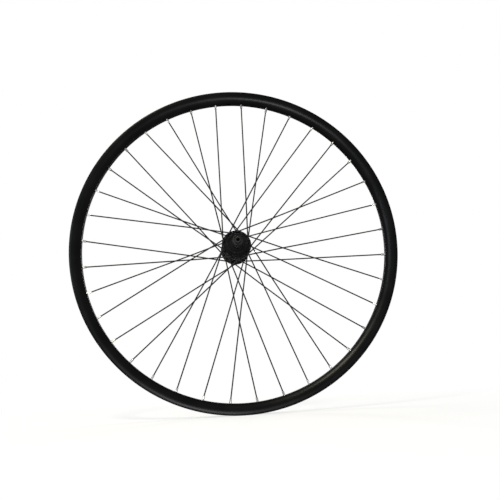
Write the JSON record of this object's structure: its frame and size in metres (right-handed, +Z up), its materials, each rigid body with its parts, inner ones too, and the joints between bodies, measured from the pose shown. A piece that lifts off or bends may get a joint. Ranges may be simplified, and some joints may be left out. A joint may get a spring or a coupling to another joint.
{
  "type": "bicycle wheel",
  "caption": "Wire-spoked bicycle rear wheel without tyre: black hollow rim laced to a flanged hub that spins on a hollow axle.",
  "frame": {"origin": "the wheel's centre: on the axle's axis, in the rim's middle plane, halfway between the locknuts", "axes": "+Y along the axle towards the plain side (the drive side is at -Y), +Z up through the valve hole, +X the way the wheel travels"},
  "size_m": [0.5709, 0.146, 0.571],
  "materials": {
    "rim_black": "black anodised, satin",
    "shell_black": "black anodised, satin",
    "spoke_black": "black coated wire",
    "nipple_bright": "nickel plated",
    "axle_steel": "black oxide",
    "nut_black": "black plated",
    "bearing_steel": "ground steel",
    "cap_rubber": "matt"
  },
  "bodies": {
    "axle_set": {"axle": "axle_steel", "right_bearing_inner_ring": "bearing_steel", "left_bearing_inner_ring": "bearing_steel", "right_cone": "nut_black", "left_cone": "nut_black", "right_lock_washer": "nut_black", "left_lock_washer": "nut_black", "right_axle_spacer": "nut_black", "left_axle_spacer": "nut_black", "right_locknut": "nut_black", "left_locknut": "nut_black"},
    "wheel": {"rim": "rim_black", "hub_shell": "shell_black", "right_spoke_01": "spoke_black", "right_spoke_02": "spoke_black", "right_spoke_03": "spoke_black", "right_spoke_04": "spoke_black", "right_spoke_05": "spoke_black", "right_spoke_06": "spoke_black", "right_spoke_07": "spoke_black", "right_spoke_08": "spoke_black", "right_spoke_09": "spoke_black", "right_spoke_10": "spoke_black", "right_spoke_11": "spoke_black", "right_spoke_12": "spoke_black", "right_spoke_13": "spoke_black", "right_spoke_14": "spoke_black", "right_spoke_15": "spoke_black", "right_spoke_16": "spoke_black", "right_spoke_17": "spoke_black", "right_spoke_18": "spoke_black", "left_spoke_01": "spoke_black", "left_spoke_02": "spoke_black", "left_spoke_03": "spoke_black", "left_spoke_04": "spoke_black", "left_spoke_05": "spoke_black", "left_spoke_06": "spoke_black", "left_spoke_07": "spoke_black", "left_spoke_08": "spoke_black", "left_spoke_09": "spoke_black", "left_spoke_10": "spoke_black", "left_spoke_11": "spoke_black", "left_spoke_12": "spoke_black", "left_spoke_13": "spoke_black", "left_spoke_14": "spoke_black", "left_spoke_15": "spoke_black", "left_spoke_16": "spoke_black", "left_spoke_17": "spoke_black", "left_spoke_18": "spoke_black", "right_nipples": "nipple_bright", "left_nipples": "nipple_bright", "right_bearing_outer_ring": "bearing_steel", "left_bearing_outer_ring": "bearing_steel", "right_dust_cap": "cap_rubber", "left_dust_cap": "cap_rubber"}
  },
  "joints": [
    {"name": "wheel_spin", "type": "hinge", "parent": "axle_set", "child": "wheel", "pos_m": [0, 0, 0], "axis": [0, 1, 0], "continuous": true}
  ]
}
